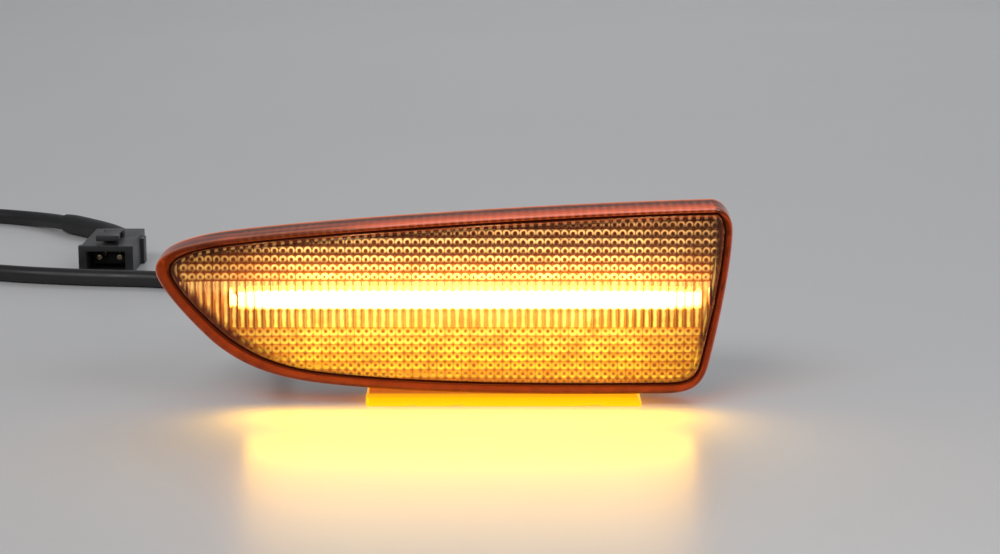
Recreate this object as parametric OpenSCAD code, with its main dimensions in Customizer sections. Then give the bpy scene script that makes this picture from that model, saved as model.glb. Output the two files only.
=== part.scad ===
// Vehicle indicator lamp: a slim body-side lamp with a ribbed lens, an LED strip and a short lead.
// All lengths are millimetres. X runs along the lens, Y runs into the vehicle, Z is up.

/* [Lens] */
// Length of the lens outline
lens_length = 110; // [104:1:116]
// Height of the lens outline above its foot
lens_height = 37.4; // [36:0.2:40]
// Height of the foot that the lens stands on
foot_height = 1.6; // [1.2:0.1:2.4]
// Depth of the lens from rear edge to front face
lens_depth = 9.5; // [9:0.5:11]
// Thickness of the lens wall
lens_wall = 2; // [1.8:0.1:2.2]
// Bulge of the front face
lens_crown = 0.8; // [0.4:0.1:1.2]
// Number of pillow columns across the lens
pillow_columns = 67; // [50:1:67]
// Height of one pillow above the inner face
pillow_rise = 0.4; // [0.2:0.05:0.45]

/* [Housing] */
// Depth of the tub behind the seat
tub_depth = 10; // [9.5:0.5:14]
// Wall and floor thickness of the tub
tub_wall = 2; // [1.6:0.1:2.2]
// Thickness of the flange inside the lens skirt
flange_thick = 2; // [1.6:0.2:2.4]
// Thickness of the foam gasket
gasket_thick = 2; // [1.5:0.5:3]
// How far the fixed hook reaches past the tub
hook_reach = 2.6; // [1.5:0.1:3]
// Thickness of the spring clip strip
clip_thick = 0.8; // [0.6:0.1:1]
// Width of the spring clip strip
clip_width = 9; // [7:0.5:11]

/* [Light] */
// Height of the light bar
bar_height = 3.9; // [3.4:0.1:4.4]
// Number of LEDs
led_count = 14; // [10:1:14]
// Spacing of the LEDs
led_pitch = 6; // [5:0.1:6]
// Thickness of the circuit board
board_thick = 1.6; // [1:0.2:1.8]

/* [Lead] */
// Outer diameter of the lead
lead_diameter = 4; // [3.4:0.1:4.2]
// Length of the connector body
connector_length = 23; // [21:1:26]
// Width of the connector body
connector_width = 12; // [11:0.5:13]
// Height of the connector body
connector_height = 7.6; // [7:0.2:8.6]

/* [Hidden] */
$fn = 48;
led_names = [for (i = [1:led_count]) str("led_", i < 10 ? "0" : "", i)];

// clearances
bead_play = 0.05;
tray_play = 0.6;
slide_play = 0.2;
hole_play = 0.1;
panel_play = 0.3;
seat_play = 0.03;

// scale of the outline against its drawn size
wide = lens_length / 110;
tall = lens_height / 37.4;
function at_x(v) = v * wide;
function at_z(v) = foot_height + v * tall;

// depths, with the panel seat at zero
seat = 0;
lens_back = seat - gasket_thick;
lens_front = lens_back - lens_depth;
inner_face = lens_front + lens_wall + 0.2;
flange_front = lens_back - flange_thick;
tray_wall = 1;
tray_front = flange_front - tray_wall;
tray_lip = inner_face + 1.4;
bar_front = inner_face + pillow_rise + 0.5;
board_front = seat - 0.5;
board_back = board_front + board_thick;
led_thick = 0.9;
led_front = board_front - led_thick;
floor_inside = tub_depth - tub_wall;
collar_back = tub_depth + 2;
grommet_back = tub_depth + 8;

// the frame has its origin under the middle of the lamp
front_reach = lens_front - lens_crown;
shift_y = -(front_reach + grommet_back) / 2;

// outline nodes: x, z, heading, handle behind, handle ahead
lens_nodes = [
    [at_x(-55), at_z(24.8), 94, 4, 5],
    [at_x(-37.8), at_z(31.6), 6.5, 3.9, 21],
    [at_x(51.2), at_z(37.3), 1.4, 25.5, 0.9],
    [at_x(55), at_z(32.2), -91, 4.2, 6.6],
    [at_x(51), at_z(6.8), -103, 7.9, 5],
    [at_x(42), at_z(0.4), 180.6, 5.7, 20],
    [at_x(-23.6), at_z(2.45), 173, 19.3, 7.7],
    [at_x(-44.1), at_z(10.45), 139.4, 8, 1.4]
];
tub_nodes = [
    [at_x(-47.5), at_z(21.9), 92, 3, 2],
    [at_x(-42), at_z(25.3), 5, 3, 20],
    [at_x(45), at_z(31.6), 2, 22, 1.6],
    [at_x(48.5), at_z(27.9), -94, 2, 6],
    [at_x(46.2), at_z(10.4), -102, 5, 2.2],
    [at_x(41), at_z(6), 180, 3, 18],
    [at_x(-18), at_z(7.3), 174, 16, 7],
    [at_x(-38), at_z(13.2), 141, 6, 4]
];
outline_steps = 10;

// width of the smooth rim: narrow on top and at the tall end, wider below and at the tapered end
rim_middle = 1.7;
rim_lean = 0.8;
rim_ends = 0.6;
rim_side = 0.7;
function rim_at(heading) =
    rim_middle - rim_lean * cos(heading) + rim_side * sin(heading) + rim_ends * sin(heading) * sin(heading);

// outline drawing
function gap(a, b) = norm([b[0] - a[0], b[1] - a[1]]);
function after(list, i) = list[(i + 1) % len(list)];
function before(list, i) = list[(i + len(list) - 1) % len(list)];
function pushed(n, d) = [n[0] + d * sin(n[2]), n[1] - d * cos(n[2]), n[2], n[3], n[4]];
function moved_nodes(nodes, d, share) = [for (n = nodes) pushed(n, d + share * rim_at(n[2]))];
function back_share(nodes, moved, i) = gap(before(moved, i), moved[i]) / gap(before(nodes, i), nodes[i]);
function ahead_share(nodes, moved, i) = gap(moved[i], after(moved, i)) / gap(nodes[i], after(nodes, i));
function refit(nodes, moved) = [
    for (i = [0:len(nodes) - 1])
        let (m = moved[i])
        [m[0], m[1], m[2], m[3] * back_share(nodes, moved, i), m[4] * ahead_share(nodes, moved, i)]
];
function inset(nodes, d, share = 0) = refit(nodes, moved_nodes(nodes, d, share));
function ahead_handle(n) = [n[0] + n[4] * cos(n[2]), n[1] + n[4] * sin(n[2])];
function back_handle(n) = [n[0] - n[3] * cos(n[2]), n[1] - n[3] * sin(n[2])];
function between(a, b, c, d, t) =
    pow(1 - t, 3) * a + 3 * pow(1 - t, 2) * t * b + 3 * (1 - t) * t * t * c + t * t * t * d;
function spot(a, b, t) = between([a[0], a[1]], ahead_handle(a), back_handle(b), [b[0], b[1]], t);
function outline(nodes) = [
    for (i = [0:len(nodes) - 1])
        for (k = [0:outline_steps - 1])
            spot(nodes[i], after(nodes, i), k / outline_steps)
];

// a plate with an XZ outline between two depths
module plate(points, y_near, y_far) {
    translate([0, y_far, 0])
        rotate([90, 0, 0])
            linear_extrude(y_far - y_near)
                polygon(points);
}

module ring(outer, inner, y_near, y_far) {
    difference() {
        plate(outer, y_near, y_far);
        plate(inner, y_near - 1, y_far + 1);
    }
}

// a round bar along Y
module pin(x, z, y_near, y_far, diameter) {
    translate([x, y_far, z])
        rotate([90, 0, 0])
            cylinder(d = diameter, h = y_far - y_near);
}

module block(x_low, x_high, y_low, y_high, z_low, z_high) {
    translate([x_low, y_low, z_low])
        cube([x_high - x_low, y_high - y_low, z_high - z_low]);
}

// a closed skin over stacked rings with equal counts
function flat_ring(points, y) = [for (p = points) [p[0], y, p[1]]];
function skin_faces(count, rings) = concat(
    [[for (k = [0:count - 1]) k]],
    [
        for (r = [0:rings - 2], k = [0:count - 1])
            let (a = r * count + k, b = r * count + (k + 1) % count)
            [b, a, a + count]
    ],
    [
        for (r = [0:rings - 2], k = [0:count - 1])
            let (a = r * count + k, b = r * count + (k + 1) % count)
            [b, a + count, b + count]
    ],
    [[for (k = [count - 1:-1:0]) (rings - 1) * count + k]]
);
module skin(rings) {
    count = len(rings[0]);
    polyhedron(points = [for (r = rings) each r], faces = skin_faces(count, len(rings)), convexity = 6);
}

// the outer skin of the lens: skirt, rounded edge, groove and crowned face
skirt_draft = 0.25;
round_depth = 2.5;
groove_depth = 0.35;
groove_half = 0.3;
face_start = 0.75;
spine_low = at_x(-36);
spine_high = at_x(40);
spine_z = at_z(19);
round_turns = [15, 35, 55, 75, 90];
crown_turns = [0, 0.3, 0.65, 0.95];
function round_ring(turn) = flat_ring(
    outline(inset(lens_nodes, skirt_draft * cos(turn), 1 - cos(turn))),
    lens_front + round_depth * (1 - sin(turn))
);
function to_spine(p, t) = [
    p[0] + (min(max(p[0], spine_low), spine_high) - p[0]) * t,
    p[1] + (spine_z - p[1]) * t
];
face_outline = outline(inset(lens_nodes, face_start, 1));
function crown_ring(t) = flat_ring(
    [for (p = face_outline) to_spine(p, t)],
    lens_front - lens_crown * (1 - (1 - t) * (1 - t))
);
lens_rings = concat(
    [flat_ring(outline(lens_nodes), lens_back)],
    [flat_ring(outline(inset(lens_nodes, skirt_draft)), lens_front + round_depth)],
    [for (turn = round_turns) round_ring(turn)],
    [flat_ring(outline(inset(lens_nodes, face_start - 2 * groove_half, 1)), lens_front)],
    [flat_ring(outline(inset(lens_nodes, face_start - groove_half, 1)), lens_front + groove_depth)],
    [for (t = crown_turns) crown_ring(t)]
);
hollow_rings = [
    flat_ring(outline(inset(lens_nodes, lens_wall)), lens_back + 1),
    flat_ring(outline(inset(lens_nodes, lens_wall)), inner_face + 1.1),
    flat_ring(outline(inset(lens_nodes, lens_wall + 0.4)), inner_face + 0.4),
    flat_ring(outline(inset(lens_nodes, lens_wall * 0.4 + 0.2, 1)), inner_face)
];

// the pillow optics on the inner face, with tall flutes across the middle
pillow_pitch = 103.6 * wide / 66;
row_pitch = 1.665 * tall;
block_rows = 9;
flute_low = at_z(14);
flute_high = at_z(22.8);
flute_hip = 0.5;
field_left = at_x(-51.6);
row_edges = concat(
    [for (i = [block_rows:-1:1]) flute_low - i * row_pitch],
    [flute_low],
    [for (i = [0:block_rows]) flute_high + i * row_pitch]
);
valley = inner_face + 0.05;
peak = inner_face + pillow_rise;
root = inner_face - 0.5;
corner_count = pillow_columns + 1;
row_count = len(row_edges) - 1;
function corner_at(c, r) = r * corner_count + c;
corner_points = [
    for (r = [0:row_count], c = [0:pillow_columns])
        [field_left + c * pillow_pitch, valley, row_edges[r]]
];
middle_points = [
    for (r = [0:row_count - 1], c = [0:pillow_columns - 1])
        let (x = field_left + (c + 0.5) * pillow_pitch)
        let (hip = r == block_rows ? flute_hip : row_pitch / 2)
        each [[x, peak, row_edges[r] + hip], [x, peak, row_edges[r + 1] - hip]]
];
middle_start = len(corner_points);
function middle_at(c, r) = middle_start + 2 * (r * pillow_columns + c);
rim_loop = concat(
    [for (c = [0:pillow_columns]) corner_at(c, 0)],
    [for (r = [1:row_count]) corner_at(pillow_columns, r)],
    [for (c = [pillow_columns - 1:-1:0]) corner_at(c, row_count)],
    [for (r = [row_count - 1:-1:1]) corner_at(0, r)]
);
root_start = middle_start + len(middle_points);
root_points = [for (i = rim_loop) [corner_points[i][0], root, corner_points[i][2]]];
function pillow_faces(c, r) =
    let (a = corner_at(c, r), b = corner_at(c + 1, r), d = corner_at(c, r + 1), e = corner_at(c + 1, r + 1))
    let (low = middle_at(c, r), high = r == block_rows ? low + 1 : low)
    concat(
        [[a, b, low], [e, d, high]],
        r == block_rows ? [[b, e, high], [b, high, low], [d, a, low], [d, low, high]] : [],
        r == block_rows ? [] : [[b, e, low], [d, a, low]]
    );
module pillow_slab() {
    loop = len(rim_loop);
    polyhedron(
        points = concat(corner_points, middle_points, root_points),
        faces = concat(
            [for (r = [0:row_count - 1], c = [0:pillow_columns - 1]) each pillow_faces(c, r)],
            [
                for (k = [0:loop - 1])
                    let (n = (k + 1) % loop)
                    [rim_loop[n], rim_loop[k], root_start + k, root_start + n]
            ],
            [[for (k = [loop - 1:-1:0]) root_start + k]]
        ),
        convexity = 10
    );
}

// the clear foot under the lens, with rounded ends
foot_left = at_x(-15);
foot_right = at_x(37);
foot_near = lens_front + 0.8;
foot_far = seat - 0.3;
foot_pads = 9;
module foot_pad(i) {
    step = (foot_right - foot_left) / foot_pads;
    x = foot_left + i * step;
    slant = i == foot_pads - 1 ? 0.9 : 0;
    hull() {
        block(x, x + step + slant, foot_near, foot_far, 0, 0.3);
        block(x, x + step, foot_near, foot_far, 0.3, foot_height + 0.3);
    }
}
// small wedge gaps under the front edge of the foot: from, to
foot_gaps = [
    [at_x(-7.8), at_x(-5.2)],
    [at_x(-0.4), at_x(3.6)],
    [at_x(24.8), at_x(30.4)]
];
foot_gap_high = 0.45;
foot_gap_deep = 1.4;
module foot_gap(from, to) {
    hull() {
        block(from, from + 0.2, foot_near - 1, foot_near + foot_gap_deep, -1, 0.08);
        block(to - 0.6, to, foot_near - 1, foot_near + foot_gap_deep, -1, foot_gap_high);
    }
}
module foot_neck() {
    difference() {
        block(foot_left + 0.3, foot_right - 0.3, foot_near + 1.8, lens_back, 0.5, at_z(5));
        plate(outline(inset(lens_nodes, 1)), foot_near, seat);
    }
}

module lens() {
    color([1, 0.62, 0.12, 0.6])
        union() {
            difference() {
                skin(reversed(lens_rings));
                skin(reversed(hollow_rings));
            }
            intersection() {
                pillow_slab();
                plate(outline(inset(lens_nodes, face_start + 0.1, 1)), root - 1, peak + 1);
            }
            difference() {
                for (i = [0:foot_pads - 1])
                    foot_pad(i);
                for (g = foot_gaps)
                    foot_gap(g[0], g[1]);
            }
            foot_neck();
        }
}

// adhesive bead between the lens skirt and the flange
flange_inset = lens_wall + 0.6;
module lens_seal() {
    color([0.75, 0.75, 0.72])
        ring(
            outline(inset(lens_nodes, lens_wall + bead_play)),
            outline(inset(lens_nodes, flange_inset)),
            flange_front,
            lens_back
        );
}

// light bar and the slot it passes through
bar_z = at_z(18.95);
bar_left = at_x(-40);
bar_right = at_x(48.6);
blade_half = 1.05;
blade_left = bar_left + 3;
blade_right = bar_right - 4;
led_middle = (blade_left + blade_right) / 2;
led_step = led_pitch * wide;
led_first = led_middle - (led_count - 1) * led_step / 2;
module light_bar() {
    color([1, 0.95, 0.7])
        union() {
            block(bar_left + 1, bar_right - 1, bar_front, tray_front, bar_z - bar_height / 2, bar_z + bar_height / 2);
            block(bar_left, bar_right, bar_front + 0.6, tray_front, bar_z - bar_height / 2 + 0.8, bar_z + bar_height / 2 - 0.8);
            block(blade_left, blade_right, tray_front - 1, led_front - slide_play, bar_z - blade_half, bar_z + blade_half);
        }
}

// reflector tray behind the optics, located on four blind pegs
peg_spots = [
    [at_x(-20), at_z(28.6)],
    [at_x(30), at_z(31.8)],
    [at_x(30), at_z(5)],
    [at_x(-10), at_z(6.1)]
];
peg_diameter = 1.6;
peg_skin = 0.3;
tray_inset = lens_wall + tray_play;
module reflector() {
    color([0.95, 0.6, 0.2])
        difference() {
            plate(outline(inset(lens_nodes, tray_inset)), tray_lip, flange_front);
            plate(outline(inset(lens_nodes, tray_inset + tray_wall)), tray_lip - 1, tray_front);
            block(
                blade_left - slide_play,
                blade_right + slide_play,
                tray_front - 1,
                flange_front + 1,
                bar_z - blade_half - slide_play,
                bar_z + blade_half + slide_play
            );
            for (p = peg_spots)
                pin(p[0], p[1], tray_front + peg_skin, flange_front + 1, peg_diameter + 2 * hole_play);
        }
}

// circuit board with its holes
board_inset = tub_wall + 0.5;
screw_spots = [[at_x(-24), at_z(12.7)], [at_x(37), at_z(26.2)]];
screw_diameter = 2;
module circuit_board() {
    color([0.93, 0.93, 0.9])
        difference() {
            plate(outline(inset(tub_nodes, board_inset)), board_front, board_back);
            for (p = screw_spots)
                pin(p[0], p[1], board_front - 1, board_back + 1, screw_diameter + 2 * hole_play);
        }
}

led_long = 3.5;
led_high = 2.8;
module led(i) {
    x = led_first + i * led_step;
    color([1, 0.9, 0.55])
        difference() {
            block(x - led_long / 2, x + led_long / 2, led_front, board_front, bar_z - led_high / 2, bar_z + led_high / 2);
            translate([x, led_front + 0.25, bar_z])
                rotate([90, 0, 0])
                    cylinder(d1 = 1.9, d2 = 2.5, h = 0.35);
        }
}

// parts on the back of the board
chip_x = at_x(2);
chip_z = at_z(21.5);
module driver_chip() {
    color([0.1, 0.1, 0.11])
        union() {
            block(chip_x - 2.45, chip_x + 2.45, board_back + 0.15, board_back + 1.6, chip_z - 1.95, chip_z + 1.95);
            for (i = [0:3]) {
                x = chip_x - 1.9 + i * 1.27;
                block(x - 0.2, x + 0.2, board_back, board_back + 0.5, chip_z - 3, chip_z + 3);
            }
        }
}

resistor_x = [at_x(-12), at_x(-6), at_x(12), at_x(18)];
module resistor(i) {
    color([0.12, 0.12, 0.13])
        union() {
            block(resistor_x[i] - 1.6, resistor_x[i] + 1.6, board_back, board_back + 0.5, at_z(14.2), at_z(14.2) + 1.6);
            block(resistor_x[i] - 1.3, resistor_x[i] + 1.3, board_back, board_back + 0.6, at_z(14.2), at_z(14.2) + 1.6);
        }
}

capacitor_x = at_x(24);
capacitor_z = at_z(20.5);
module capacitor() {
    color([0.7, 0.7, 0.72])
        union() {
            block(capacitor_x - 2.6, capacitor_x + 2.6, board_back, board_back + 0.9, capacitor_z - 2.6, capacitor_z + 2.6);
            pin(capacitor_x, capacitor_z, board_back, board_back + 5.2, 5);
        }
}

diode_x = at_x(-16);
diode_z = at_z(21.5);
module diode() {
    color([0.12, 0.12, 0.13])
        union() {
            block(diode_x - 2.1, diode_x + 2.1, board_back + 0.1, board_back + 2, diode_z - 1.3, diode_z + 1.3);
            block(diode_x - 2.6, diode_x + 2.6, board_back, board_back + 0.5, diode_z - 0.8, diode_z + 0.8);
        }
}

screw_reach = 5;
module board_screws() {
    color([0.75, 0.75, 0.78])
        for (p = screw_spots)
            union() {
                pin(p[0], p[1], board_front - 1.3, board_front, 3.8);
                pin(p[0], p[1], board_front - 0.5, board_back + screw_reach, screw_diameter);
            }
}

// lead entry in the tub floor
lead_x = at_x(-34);
lead_z = bar_z;
grommet_neck = lead_diameter + 3.2;

// wires from the end of the lead to the board
function bend(a, b, c, d, t) =
    0.5 * ((2 * b) + (c - a) * t + (2 * a - 5 * b + 4 * c - d) * t * t + (3 * b - a - 3 * c + d) * t * t * t);
function clamped(list, i) = list[min(max(i, 0), len(list) - 1)];
function smooth(list, steps) = concat(
    [
        for (i = [0:len(list) - 2], k = [0:steps - 1])
            bend(clamped(list, i - 1), list[i], list[i + 1], clamped(list, i + 2), k / steps)
    ],
    [list[len(list) - 1]]
);
function unit(v) = v / norm(v);
function heading_at(path, i) = unit(clamped(path, i + 1) - clamped(path, i - 1));
function side_of(v) = abs(v[2]) > 0.9 ? unit(cross([1, 0, 0], v)) : unit(cross([0, 0, 1], v));
module tube(path, diameter, sides) {
    rings = [
        for (i = [0:len(path) - 1])
            let (v = heading_at(path, i), s = side_of(v), u = cross(v, s))
            [for (k = [0:sides - 1]) path[i] + diameter / 2 * (cos(360 * k / sides) * s + sin(360 * k / sides) * u)]
    ];
    skin(rings);
}
wire_diameter = 1.2;
wire_start = floor_inside - 1.2;
module wire(side) {
    color(side > 0 ? [0.75, 0.1, 0.08] : [0.06, 0.06, 0.06])
        tube(
            smooth(
                [
                    [lead_x + side * 0.75, wire_start - 3 * seat_play, lead_z],
                    [lead_x + side * 0.75, wire_start - 0.8, lead_z],
                    [lead_x + side * 1.1, wire_start - 2, lead_z + 0.8],
                    [lead_x + side * 1.7, board_back + 2.4, lead_z + 2.3],
                    [lead_x + side * 1.9, board_back + 1.2, lead_z + 2.7],
                    [lead_x + side * 1.9, board_back + seat_play, lead_z + 2.7]
                ],
                3
            ),
            wire_diameter,
            8
        );
}

// rear housing: flange, tub, bosses, fixed hook and ribs
boss_diameter = 5;
clip_screw_x = at_x(40);
clip_z = at_z(17.5);
vent_x = at_x(14);
vent_z = at_z(12.5);
rib_spots = [at_x(-20), at_x(-6), at_x(26)];
module rear_housing() {
    tub = outline(tub_nodes);
    room = outline(inset(tub_nodes, tub_wall));
    color([0.07, 0.07, 0.075])
        difference() {
            union() {
                difference() {
                    union() {
                        plate(outline(inset(lens_nodes, flange_inset)), flange_front, lens_back);
                        plate(tub, flange_front, tub_depth);
                    }
                    plate(room, flange_front - 1, floor_inside);
                }
                for (p = screw_spots)
                    pin(p[0], p[1], board_back, floor_inside + 1, boss_diameter);
                for (p = peg_spots)
                    pin(p[0], p[1], tray_front + peg_skin + hole_play, flange_front + 1, peg_diameter);
                pin(clip_screw_x, clip_z, board_back + 2.4, floor_inside + 1, boss_diameter);
                pin(lead_x, lead_z, tub_depth - 1, collar_back, grommet_neck + 4);
                pin(vent_x, vent_z, tub_depth - 1, tub_depth + 1.6, 4);
                for (x = rib_spots)
                    block(x - 0.6, x + 0.6, tub_depth - 1, tub_depth + 1, at_z(12), at_z(25));
                translate([0, 0, at_z(19)])
                    linear_extrude(5.6)
                        polygon([
                            [at_x(-46), seat + 2.6],
                            [at_x(-47.4) - hook_reach, seat + 2.6],
                            [at_x(-47.4) - hook_reach, seat + 3.6],
                            [at_x(-47), tub_depth - 0.4],
                            [at_x(-46), tub_depth - 0.4]
                        ]);
            }
            for (p = screw_spots)
                pin(p[0], p[1], board_back - 1, floor_inside + 0.5, screw_diameter + 0.02);
            pin(clip_screw_x, clip_z, board_back, tub_depth + 1, 2.5 + 0.02);
            pin(lead_x, lead_z, floor_inside - 2, collar_back + 1, grommet_neck + 0.02);
            pin(vent_x, vent_z, floor_inside - 1, tub_depth + 3, 2);
        }
}

module mounting_gasket() {
    color([0.1, 0.1, 0.1])
        ring(
            outline(inset(lens_nodes, 0.8)),
            outline(inset(tub_nodes, -panel_play)),
            lens_back,
            seat
        );
}

// spring clip: a bent strip on the back of the tub that reaches forward past its end
clip_seat = tub_depth + clip_thick / 2 + seat_play;
clip_line = smooth(
    [
        [at_x(34), clip_seat],
        [at_x(38), clip_seat],
        [at_x(42), clip_seat],
        [at_x(45), clip_seat],
        [at_x(48), clip_seat],
        [at_x(49.8), tub_depth - 0.7],
        [at_x(50.4), tub_depth - 3],
        [at_x(50.9), tub_depth - 5],
        [at_x(51), seat + 3.8],
        [at_x(50.2), seat + 2.9]
    ],
    4
);
function turned(v) = [-v[1], v[0]];
function beside(path, d) = [for (i = [0:len(path) - 1]) path[i] + d * turned(heading_at(path, i))];
function reversed(list) = [for (i = [len(list) - 1:-1:0]) list[i]];
module spring_clip() {
    color([0.72, 0.73, 0.75])
        difference() {
            translate([0, 0, clip_z - clip_width / 2])
                linear_extrude(clip_width)
                    polygon(concat(beside(clip_line, clip_thick / 2), reversed(beside(clip_line, -clip_thick / 2))));
            pin(clip_screw_x, clip_z, tub_depth - 1, tub_depth + 2, 2.5 + 2 * hole_play);
        }
}

clip_head = tub_depth + clip_thick + 2 * seat_play;
module clip_screw() {
    color([0.75, 0.75, 0.78])
        difference() {
            union() {
                pin(clip_screw_x, clip_z, clip_head, clip_head + 1.7, 5);
                pin(clip_screw_x, clip_z, board_back + 3, clip_head + 0.5, 2.5);
            }
            block(clip_screw_x - 1.5, clip_screw_x + 1.5, clip_head + 0.9, clip_head + 3, clip_z - 0.3, clip_z + 0.3);
            block(clip_screw_x - 0.3, clip_screw_x + 0.3, clip_head + 0.9, clip_head + 3, clip_z - 1.5, clip_z + 1.5);
        }
}

module breather_cap() {
    color([0.12, 0.12, 0.12])
        difference() {
            pin(vent_x, vent_z, tub_depth, tub_depth + 2.8, 7);
            pin(vent_x, vent_z, tub_depth - 1, tub_depth + 1.62, 4 + 0.02);
            for (a = [0, 60, 120])
                translate([vent_x, tub_depth + 2.8, vent_z])
                    rotate([0, a, 0])
                        block(-4, 4, -0.5, 1, -0.3, 0.3);
        }
}

// grommet: inner lip, neck, outer lip and ribbed tail around the lead
lead_bore = lead_diameter + 3 * hole_play;
module cable_grommet() {
    translate([lead_x, 0, lead_z])
        rotate([-90, 0, 0])
            color([0.06, 0.06, 0.065])
                rotate_extrude()
                    polygon([
                        [lead_bore / 2, floor_inside - 0.9],
                        [grommet_neck / 2 + 0.8, floor_inside - 0.4],
                        [grommet_neck / 2 + 0.8, floor_inside],
                        [grommet_neck / 2, floor_inside],
                        [grommet_neck / 2, collar_back],
                        [grommet_neck / 2 + 1.6, collar_back],
                        [grommet_neck / 2 + 1.6, collar_back + 1],
                        [grommet_neck / 2 - 0.3, collar_back + 1],
                        [grommet_neck / 2 - 0.4, collar_back + 2.2],
                        [grommet_neck / 2 - 0.9, collar_back + 2.2],
                        [grommet_neck / 2 - 0.9, collar_back + 2.9],
                        [grommet_neck / 2 - 0.5, collar_back + 2.9],
                        [grommet_neck / 2 - 0.6, collar_back + 4.1],
                        [grommet_neck / 2 - 1, collar_back + 4.1],
                        [grommet_neck / 2 - 1, collar_back + 4.8],
                        [grommet_neck / 2 - 0.7, collar_back + 4.8],
                        [grommet_neck / 2 - 0.8, grommet_back],
                        [lead_bore / 2, grommet_back]
                    ]);
}

// the lead lies on the table behind the lamp in one loose loop
lie = lead_diameter / 2;
sleeve_diameter = lead_diameter + 1.2;
sleeve_lie = sleeve_diameter / 2;
connector_turn = -90;
connector_x = -85;
connector_y = 120.5;
tail_x = connector_x - connector_length / 2 * cos(connector_turn);
tail_y = connector_y - connector_length / 2 * sin(connector_turn);
lead_line = smooth(
    [
        [lead_x, wire_start, lead_z],
        [lead_x, tub_depth + 1, lead_z],
        [lead_x, grommet_back + 1, lead_z],
        [lead_x - 0.4, grommet_back + 9, lead_z - 1.7],
        [lead_x - 1, grommet_back + 17, lead_z - 6.3],
        [lead_x - 1.8, grommet_back + 25, lie + 6.3],
        [lead_x - 2.9, grommet_back + 33, lie + 1.7],
        [lead_x - 4.6, grommet_back + 41, lie],
        [lead_x - 7.4, 69, lie],
        [-46, 80, lie],
        [-56, 91, lie],
        [-71, 97, lie],
        [-89, 99.5, lie],
        [-108, 104, lie],
        [-127, 112, lie],
        [-143, 124, lie],
        [-154, 140, lie],
        [-157, 158, lie],
        [-149, 174, lie],
        [-134, 181, lie],
        [-118, 176.5, lie],
        [-105, 166, sleeve_lie],
        [-93, 154, sleeve_lie],
        [tail_x - 2.2, tail_y + 12.6, sleeve_lie + 0.3],
        [tail_x - 0.2, tail_y + 6, connector_height / 2 - 0.4],
        [tail_x, tail_y, connector_height / 2],
        [tail_x + 5 * cos(connector_turn), tail_y + 5 * sin(connector_turn), connector_height / 2]
    ],
    3
);
module lead() {
    color([0.05, 0.05, 0.055])
        tube(lead_line, lead_diameter, 10);
}

// connector pieces, drawn along X with the mouth ahead
module at_connector() {
    translate([connector_x, connector_y, 0])
        rotate([0, 0, connector_turn])
            children();
}
tail = -connector_length / 2;
mouth = connector_length / 2;
mouth_depth = 10;
mouth_wall = 1.3;
pin_reach = 4.8;
module connector_body() {
    half = connector_width / 2;
    at_connector()
        color([0.06, 0.06, 0.065])
            difference() {
                union() {
                    block(tail, mouth, -half, half, 0, connector_height);
                    block(tail + 3, tail + 7, -half - 0.8, half + 0.8, 0, connector_height - 1.2);
                    block(mouth - 2, mouth, -half - 0.6, half + 0.6, 0, connector_height);
                }
                block(mouth - mouth_depth, mouth + 1, -half + mouth_wall, half - mouth_wall, mouth_wall, connector_height - mouth_wall);
                translate([tail - 1, 0, connector_height / 2])
                    rotate([0, 90, 0])
                        cylinder(d = connector_height - 1.6, h = 8.5);
                for (s = [-1, 1])
                    translate([tail + 7, s * 2.5, connector_height / 2])
                        rotate([0, 90, 0])
                            cylinder(d = 1.8 + 0.02, h = connector_length - mouth_depth - 6);
            }
}

module connector_lock() {
    at_connector()
        color([0.09, 0.09, 0.095])
            union() {
                block(tail + 8, tail + 11, -2.4, 2.4, connector_height, connector_height + 1.6);
                block(tail + 8, mouth - 3, -2, 2, connector_height + 0.9, connector_height + 1.6);
                block(mouth - 5.5, mouth - 3, -2.8, 2.8, connector_height + 0.6, connector_height + 2);
            }
}

module connector_seal() {
    at_connector()
        translate([tail + 0.4, 0, connector_height / 2])
            rotate([0, 90, 0])
                color([0.2, 0.32, 0.55])
                    difference() {
                        cylinder(d = connector_height - 1.7, h = 6.5);
                        translate([0, 0, -1])
                            cylinder(d = lead_diameter + 0.6, h = 9);
                    }
}

module terminal(side) {
    at_connector()
        color([0.8, 0.72, 0.4])
            union() {
                translate([tail + 7.6, side * 2.5, connector_height / 2])
                    rotate([0, 90, 0])
                        cylinder(d = 1.8, h = mouth - mouth_depth - tail - 7.6);
                translate([tail + 7.6, side * 2.5, connector_height / 2])
                    rotate([0, 90, 0])
                        cylinder(d = 1.4, h = mouth - mouth_depth - tail - 7.6 + pin_reach);
            }
}

// heat-shrink sleeve over the last of the lead, clear of the connector
sleeve_line = [for (i = [len(lead_line) - 16:len(lead_line) - 7]) lead_line[i]];
module lead_sleeve() {
    color([0.04, 0.04, 0.04])
        difference() {
            tube(sleeve_line, sleeve_diameter, 10);
            tube(sleeve_line, lead_diameter + 0.5, 10);
        }
}

module placed() {
    translate([0, shift_y, 0])
        children();
}

placed() lens();
placed() lens_seal();
placed() reflector();
placed() light_bar();
placed() circuit_board();
for (i = [0:led_count - 1])
    placed() led(i);
placed() driver_chip();
placed() resistor(0);  // resistor_1
placed() resistor(1);  // resistor_2
placed() resistor(2);  // resistor_3
placed() resistor(3);  // resistor_4
placed() capacitor();
placed() diode();
placed() board_screws();
placed() wire(1);  // wire_live
placed() wire(-1);  // wire_return
placed() rear_housing();
placed() mounting_gasket();
placed() spring_clip();
placed() clip_screw();
placed() breather_cap();
placed() cable_grommet();
placed() lead();
placed() lead_sleeve();
placed() connector_body();
placed() connector_lock();
placed() connector_seal();
placed() terminal(-1);  // terminal_1
placed() terminal(1);  // terminal_2
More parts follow.
